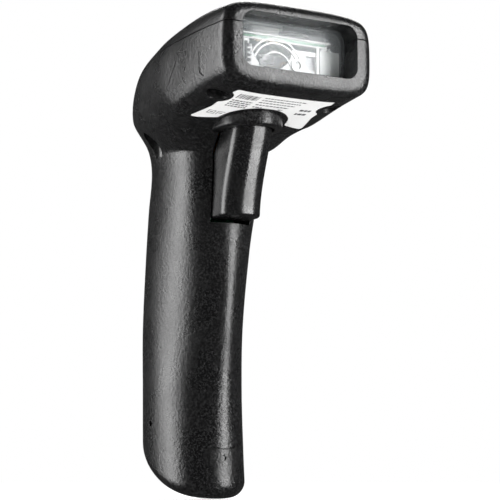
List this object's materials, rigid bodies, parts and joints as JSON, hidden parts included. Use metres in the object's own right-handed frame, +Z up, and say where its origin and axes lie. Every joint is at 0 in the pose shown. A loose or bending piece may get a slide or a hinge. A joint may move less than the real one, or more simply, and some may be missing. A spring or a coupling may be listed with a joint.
{
  "type": "handheld barcode scanner",
  "caption": "Handheld barcode scanner: black pistol-grip body with a recessed front window, a finger trigger and a socket for its cord in the handle's end",
  "frame": {"origin": "Centre of the bounding box in X and Y, on the level of the handle's lowest point", "axes": "+Z up along the grip, -Y the way the window looks, +X the object's left as its user holds it"},
  "size_m": [0.0624, 0.1019, 0.1712],
  "materials": {
    "black_grain": "fine spark-eroded grain",
    "black_satin": "smoother satin moulding",
    "window_clear": "clear polished",
    "black_rubber": "matte",
    "label_white": "printed film",
    "lamp_clear": "frosted clear",
    "screw_steel": "dark zinc plated",
    "pin_steel": "ground",
    "spring_wire": "drawn wire",
    "zinc_cast": "die cast",
    "board_green": "solder mask",
    "chip_black": "moulded package",
    "capacitor_tan": "ceramic",
    "copper_wire": "enamelled wire",
    "contact_gold": "gold plated",
    "lens_glass": "coated",
    "filter_grey": "coated band filter",
    "mirror_face": "first surface mirror",
    "magnet_nickel": "nickel plated",
    "switch_plastic": "moulded",
    "jack_clear": "translucent grey",
    "ribbon_amber": "polyimide film",
    "lamp_chip": "moulded lamp"
  },
  "bodies": {
    "housing": {"front_housing": "black_grain", "rear_housing": "black_grain", "top_cover": "black_grain", "window_gasket": "black_rubber", "window_pane": "window_clear", "window_retainer": "black_satin", "label": "label_white", "light_pipe": "lamp_clear", "trigger_pin": "pin_steel", "trigger_spring": "spring_wire", "switch_body": "switch_plastic", "main_board": "board_green", "board_screws": "screw_steel", "board_chips": "chip_black", "board_capacitors": "capacitor_tan", "beeper": "chip_black", "jack_housing": "jack_clear", "jack_contacts": "contact_gold", "head_screws": "screw_steel", "rear_screws": "screw_steel", "engine_chassis": "zinc_cast", "engine_screws": "screw_steel", "engine_grommets": "black_rubber", "mirror_pin": "pin_steel", "drive_coil": "copper_wire", "laser_module": "contact_gold", "laser_lens": "lens_glass", "collecting_mirror": "mirror_face", "light_filter": "filter_grey", "photodetector": "chip_black", "engine_board": "board_green", "indicator_lamps": "lamp_chip", "flex_ribbon": "ribbon_amber"},
    "trigger_lever": {"trigger": "black_satin"},
    "switch_button": {"switch_plunger": "lamp_chip"},
    "mirror_swing": {"mirror_carrier": "switch_plastic", "scan_mirror": "mirror_face", "mirror_magnet": "magnet_nickel"}
  },
  "joints": [
    {"name": "trigger_pull", "type": "hinge", "parent": "housing", "child": "trigger_lever", "pos_m": [0, -0.0165, 0.142], "axis": [1, 0, 0], "range_deg": [0, 3], "stiffness_Nm_per_rad": 0.3, "springref_deg": -5.73},
    {"name": "switch_press", "type": "slide", "parent": "housing", "child": "switch_button", "axis": [0, 1, 0], "range_m": [0, 0.0003]},
    {"name": "mirror_scan", "type": "hinge", "parent": "housing", "child": "mirror_swing", "pos_m": [-0.0045, -0.0275, 0.147], "axis": [0, 0, 1], "range_deg": [-10, 10], "stiffness_Nm_per_rad": 0.0001}
  ],
  "couplings": [
    {"joint": "switch_press", "follows": "trigger_pull", "m_per_rad": 0.0057}
  ]
}
